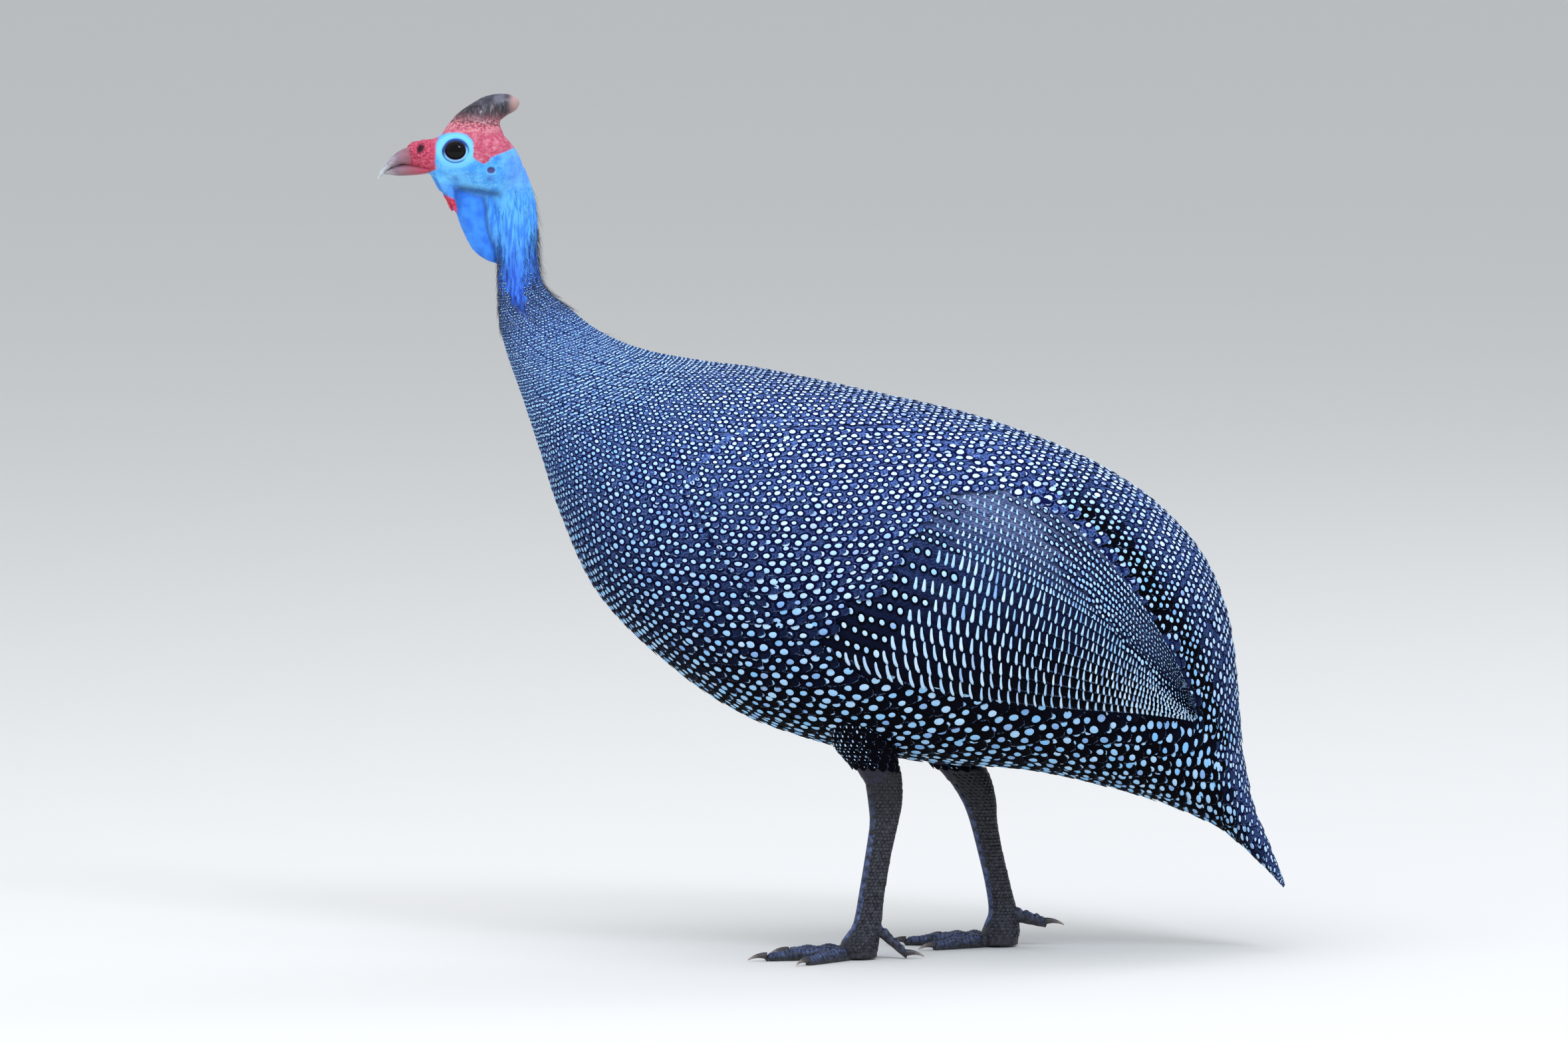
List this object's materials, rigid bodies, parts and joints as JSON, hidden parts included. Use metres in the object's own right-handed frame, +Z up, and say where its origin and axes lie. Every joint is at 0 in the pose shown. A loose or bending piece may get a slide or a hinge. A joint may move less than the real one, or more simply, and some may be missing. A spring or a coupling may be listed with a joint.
{
  "type": "helmeted guineafowl",
  "caption": "Life-size helmeted guineafowl, standing: spotted feathered body, folded wings, drooping tail, bare blue and red head with a horn casque and wattles, and dark scaled legs.",
  "frame": {"origin": "on the floor, under the middle of the bird's length and breadth", "axes": "-X is the way the bird heads, -Y is its left side, +Z is up"},
  "size_m": [0.4096, 0.1586, 0.3888],
  "materials": {
    "plumage": "blue-black feathers with pale round spots and bars, matt",
    "bare_skin": "bare skin, bright blue on cheek, throat and neck, rosy red on crown and round the nostril",
    "wattle_skin": "bare skin, blue at the root and red at the tip",
    "casque_horn": "rough grey-brown horn with a paler pinkish tip",
    "bill_horn": "smooth horn, reddish at the base and pale grey at the tip",
    "eye": "wet, very dark brown",
    "leg_scale": "dark slate scales",
    "claw": "dark horn"
  },
  "bodies": {
    "root": {"trunk": "plumage", "wing_left": "plumage", "wing_right": "plumage", "tail": "plumage", "thigh_left": "plumage", "thigh_right": "plumage", "head": "bare_skin", "neck": "bare_skin", "wattle_left": "wattle_skin", "wattle_right": "wattle_skin", "casque": "casque_horn", "bill_upper": "bill_horn", "bill_lower": "bill_horn", "eye_left": "eye", "eye_right": "eye", "shank_left": "leg_scale", "toe_left_inner": "leg_scale", "claw_left_inner": "claw", "toe_left_middle": "leg_scale", "claw_left_middle": "claw", "toe_left_outer": "leg_scale", "claw_left_outer": "claw", "toe_left_hind": "leg_scale", "claw_left_hind": "claw", "shank_right": "leg_scale", "toe_right_inner": "leg_scale", "claw_right_inner": "claw", "toe_right_middle": "leg_scale", "claw_right_middle": "claw", "toe_right_outer": "leg_scale", "claw_right_outer": "claw", "toe_right_hind": "leg_scale", "claw_right_hind": "claw"}
  },
  "joints": []
}
